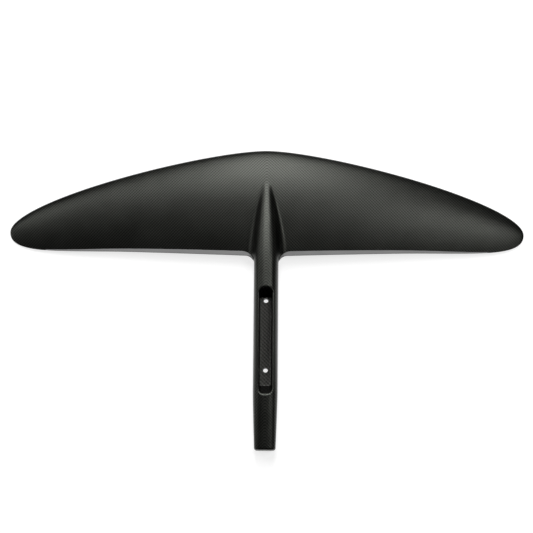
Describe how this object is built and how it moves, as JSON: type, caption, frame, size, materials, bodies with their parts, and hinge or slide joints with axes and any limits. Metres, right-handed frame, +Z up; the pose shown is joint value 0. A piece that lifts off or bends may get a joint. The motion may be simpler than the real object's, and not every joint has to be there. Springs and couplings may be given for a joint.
{
  "type": "hydrofoil front wing with fuselage",
  "caption": "Moulded carbon hydrofoil front wing in one piece with its fuselage, which has a tapered mast socket on top and a seat for a tail wing under its blunt end.",
  "frame": {"origin": "under the middle of the part's box, at the height of the fuselage's flat underside", "axes": "+X along the span towards the starboard tip, +Y towards the nose, +Z up, out of the mast socket"},
  "size_m": [0.7, 0.407, 0.043],
  "materials": {
    "carbon_gloss": "carbon twill under clear epoxy, glossy",
    "socket_carbon": "bare carbon twill, satin",
    "edge_adhesive": "grey structural adhesive, sanded matte",
    "inner_carbon": "bare carbon laminate",
    "foam": "closed-cell structural foam",
    "stainless_steel": "turned, satin",
    "brass": "turned"
  },
  "bodies": {
    "root": {"upper_skin": "carbon_gloss", "lower_skin": "carbon_gloss", "tail_cap": "carbon_gloss", "mast_socket_liner": "socket_carbon", "trailing_edge_strip_port": "edge_adhesive", "trailing_edge_strip_starboard": "edge_adhesive", "leading_edge_tow": "inner_carbon", "upper_spar_cap": "inner_carbon", "lower_spar_cap": "inner_carbon", "front_shear_web": "inner_carbon", "rear_shear_web": "inner_carbon", "socket_block": "inner_carbon", "tail_block": "inner_carbon", "nose_core_port": "foam", "nose_core_starboard": "foam", "spar_core_port": "foam", "spar_core_starboard": "foam", "rear_core_port": "foam", "rear_core_starboard": "foam", "front_fuselage_core": "foam", "rear_fuselage_core": "foam", "front_bolt_sleeve": "inner_carbon", "rear_bolt_sleeve": "inner_carbon", "front_cup_washer": "stainless_steel", "rear_cup_washer": "stainless_steel", "front_tail_insert": "brass", "rear_tail_insert": "brass"}
  },
  "joints": []
}
